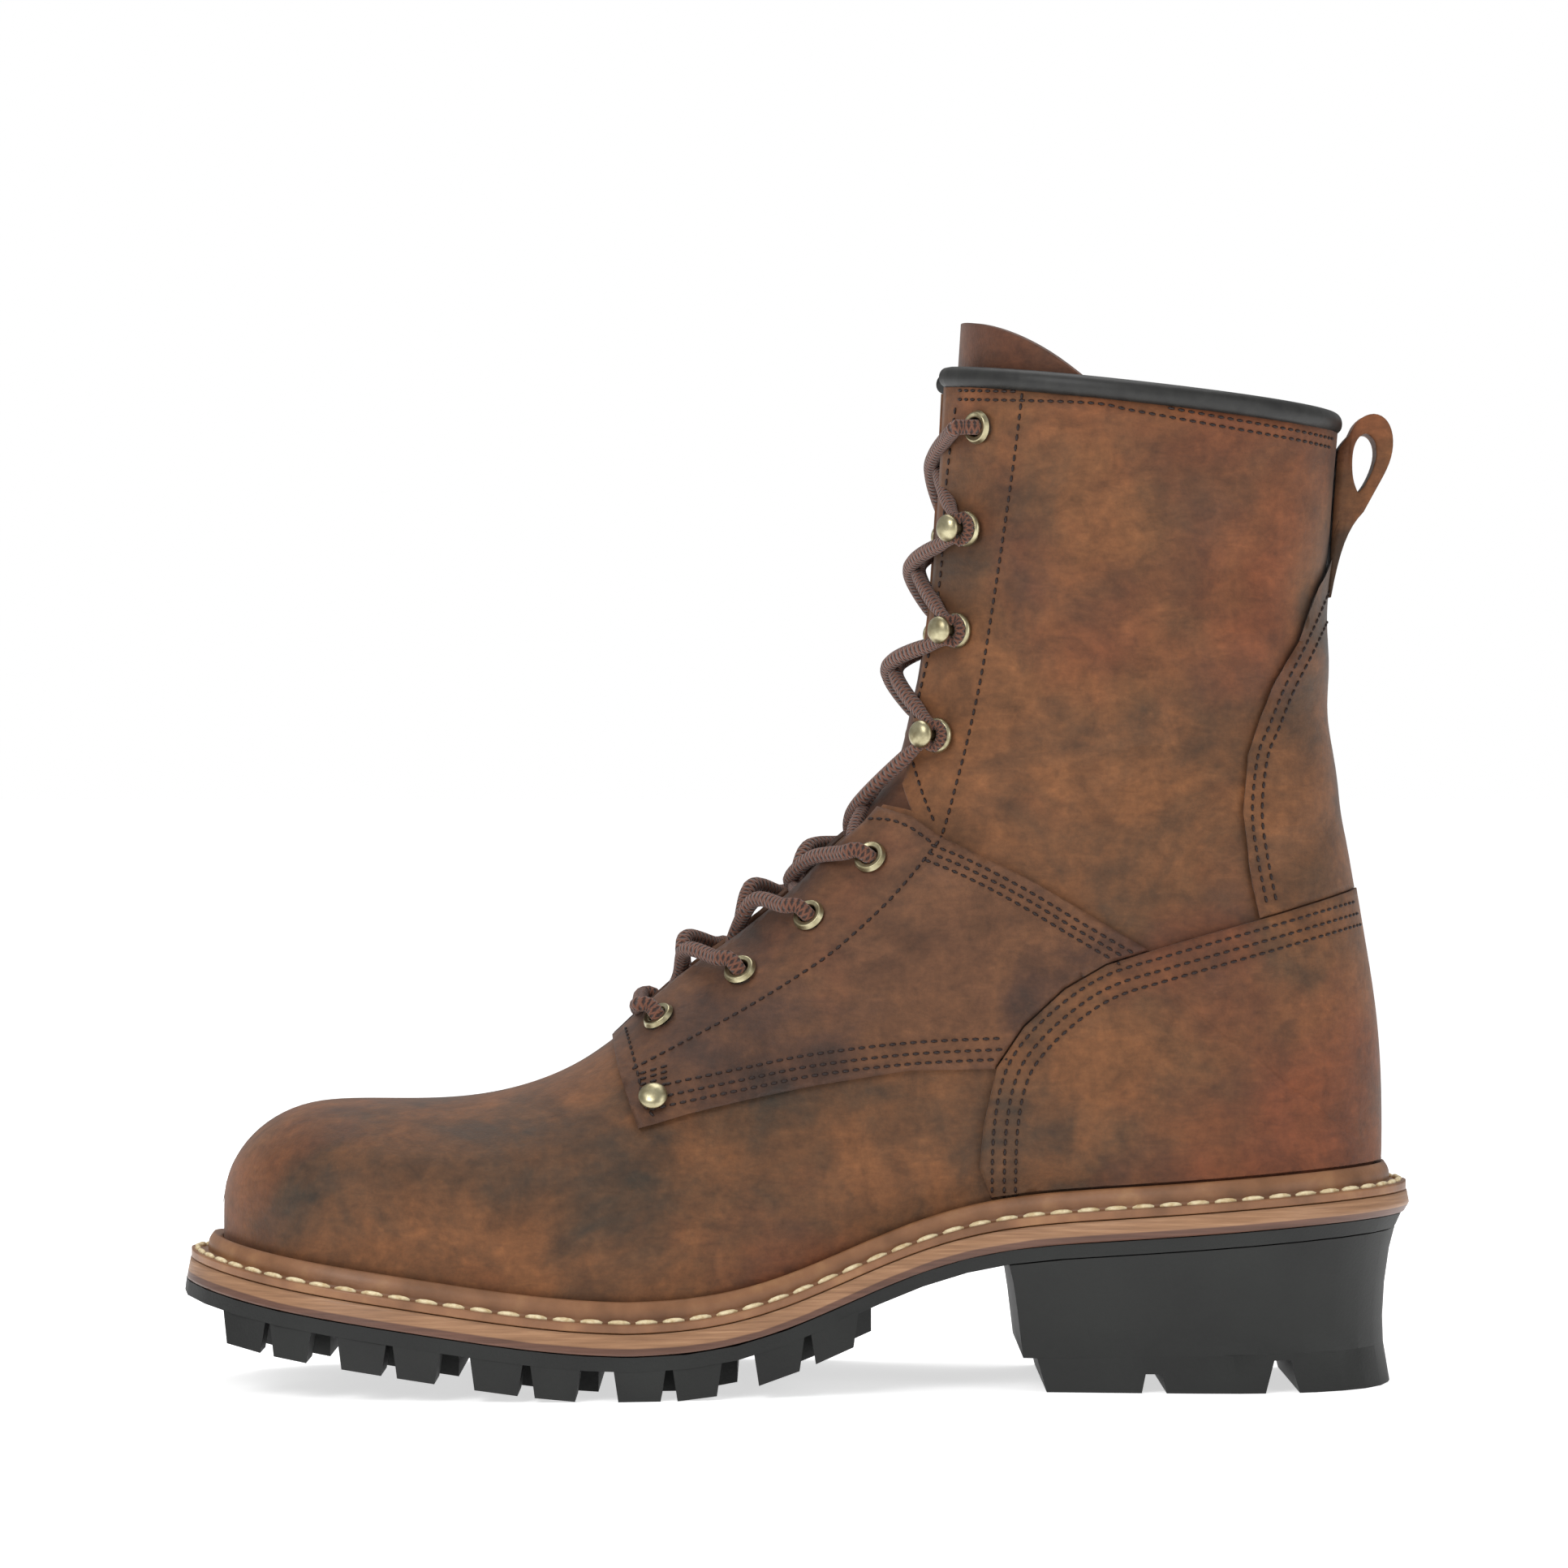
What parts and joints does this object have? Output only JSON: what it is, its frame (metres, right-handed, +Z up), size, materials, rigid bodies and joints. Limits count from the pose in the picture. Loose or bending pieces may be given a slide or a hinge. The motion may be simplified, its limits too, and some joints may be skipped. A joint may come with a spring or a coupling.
{
  "type": "logger boot",
  "caption": "Brown oiled leather lace-up logger boot with a high lugged heel, a welted sole, brass eyelets and hooks, and a pull loop at the back",
  "frame": {"origin": "centre of the heel's flat tread face on the floor", "axes": "toe towards -X, inner side of the foot towards -Y, +Z up"},
  "size_m": [0.3015, 0.122, 0.2601],
  "materials": {
    "leather": "matt",
    "dark_leather": "matt",
    "rolled_edge": "satin",
    "rubber": "matt",
    "welt_leather": "satin",
    "sole_leather": "satin",
    "board": "matt",
    "brass": "satin",
    "lace_cord": "matt"
  },
  "bodies": {
    "root": {"backstay": "leather", "collar_binding": "rolled_edge", "counter": "leather", "eyelet_1_lateral": "brass", "eyelet_1_medial": "brass", "eyelet_2_lateral": "brass", "eyelet_2_medial": "brass", "eyelet_3_lateral": "brass", "eyelet_3_medial": "brass", "eyelet_4_lateral": "brass", "eyelet_4_medial": "brass", "eyelet_5_lateral": "brass", "eyelet_5_medial": "brass", "heel": "rubber", "hook_1_lateral": "brass", "hook_1_medial": "brass", "hook_2_lateral": "brass", "hook_2_medial": "brass", "hook_3_lateral": "brass", "hook_3_medial": "brass", "insole": "board", "lace_bar": "lace_cord", "lace_crossing_1": "lace_cord", "lace_crossing_2": "lace_cord", "lace_crossing_3": "lace_cord", "lace_crossing_4": "lace_cord", "lace_crossing_5": "lace_cord", "lace_crossing_6": "lace_cord", "lace_crossing_7": "lace_cord", "midsole": "sole_leather", "outsole": "rubber", "pull_loop": "dark_leather", "quarter_lateral": "leather", "quarter_medial": "leather", "rivet_lateral": "brass", "rivet_medial": "brass", "tongue": "dark_leather", "upper": "leather", "welt": "welt_leather"}
  },
  "joints": []
}
